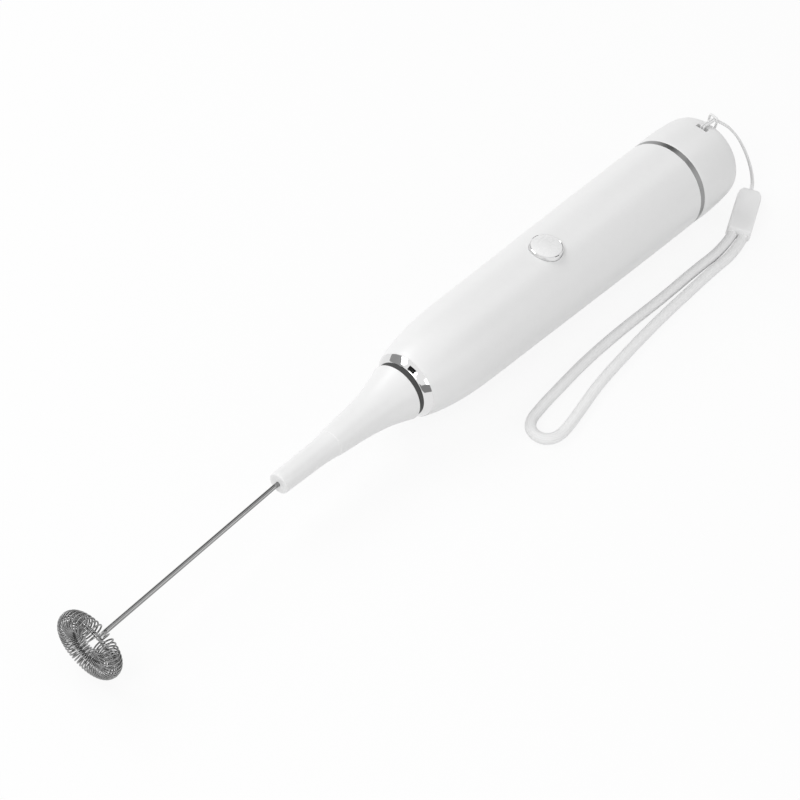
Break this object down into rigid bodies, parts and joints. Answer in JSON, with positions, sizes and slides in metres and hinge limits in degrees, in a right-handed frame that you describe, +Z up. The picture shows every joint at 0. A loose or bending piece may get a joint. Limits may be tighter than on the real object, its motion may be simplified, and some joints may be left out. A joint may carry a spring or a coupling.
{
  "type": "milk frother",
  "caption": "Hand-held battery milk frother: tapered round handle with push button, long wire shaft with a ring-shaped spring whisk, and a pull-off rear cap with a wrist lanyard.",
  "frame": {"origin": "on the floor under the object's middle, measured without the lanyard", "axes": "+X along the handle's axis from the whisk to the rear cap, +Z up, the way the button faces"},
  "size_m": [0.2644, 0.0493, 0.0298],
  "materials": {
    "white_plastic": "satin moulded",
    "dark_gasket": "matt",
    "chrome_trim": "mirror plated",
    "grey_metal": "satin",
    "stainless_wire": "drawn wire",
    "brass_part": "plain",
    "plain_steel": "plated",
    "grey_plastic": "plain",
    "board_laminate": "plain",
    "black_ceramic": "ferrite",
    "copper_wire": "enamelled",
    "cell_jacket": "plain wrapped",
    "wire_insulation": "plain",
    "black_insulation": "plain",
    "white_cord": "woven",
    "seal_rubber": "matt"
  },
  "bodies": {
    "housing": {"body_shell": "white_plastic", "chrome_collar": "chrome_trim", "nose_cone": "white_plastic", "nose_gasket": "dark_gasket", "rear_trim_ring": "grey_metal", "shaft_bush": "white_plastic", "motor_bulkhead": "grey_plastic", "motor_can": "plain_steel", "motor_magnets": "black_ceramic", "motor_end_cap": "white_plastic", "motor_brushes": "brass_part", "motor_terminals": "brass_part", "inner_chassis": "grey_plastic", "battery_tray": "grey_plastic", "switch_board": "board_laminate", "switch_body": "grey_plastic", "front_contact_plate": "plain_steel", "front_contact_spring": "plain_steel", "wire_motor_switch": "wire_insulation", "wire_motor_cell": "black_insulation", "wire_switch_cell": "wire_insulation", "m2_screws": "plain_steel", "cell_left": "cell_jacket", "cell_right": "cell_jacket", "button_spring": "plain_steel"},
    "rotor": {"whisk_shaft": "stainless_wire", "whisk_ring": "stainless_wire", "whisk_coil": "stainless_wire", "coupling_sleeve": "brass_part", "motor_shaft": "plain_steel", "armature_core": "plain_steel", "armature_windings": "copper_wire", "commutator": "brass_part"},
    "button": {"button_rim": "chrome_trim", "button_dome": "white_plastic", "button_flange": "white_plastic", "switch_plunger": "grey_plastic"},
    "rear_cap": {"cap_shell": "white_plastic", "cap_seal": "seal_rubber", "cap_contact_carrier": "grey_plastic", "cap_contact_plate": "plain_steel", "cap_contact_stud": "plain_steel", "cap_contact_spring": "plain_steel", "lanyard_hitch": "white_cord", "lanyard_string": "white_cord", "lanyard_ferrule": "white_plastic", "wrist_loop": "white_cord"}
  },
  "joints": [
    {"name": "whisk_spin", "type": "hinge", "parent": "housing", "child": "rotor", "pos_m": [-0.04351, 0, 0.01418], "axis": [1, 0, 0], "continuous": true},
    {"name": "button_press", "type": "slide", "parent": "housing", "child": "button", "axis": [0, 0, -1], "range_m": [0, 0.0012], "stiffness_N_per_m": 1500, "springref_m": -0.0004, "deforming": ["button_spring"]},
    {"name": "cap_pull", "type": "slide", "parent": "housing", "child": "rear_cap", "axis": [1, 0, 0], "range_m": [0, 0.03]}
  ]
}
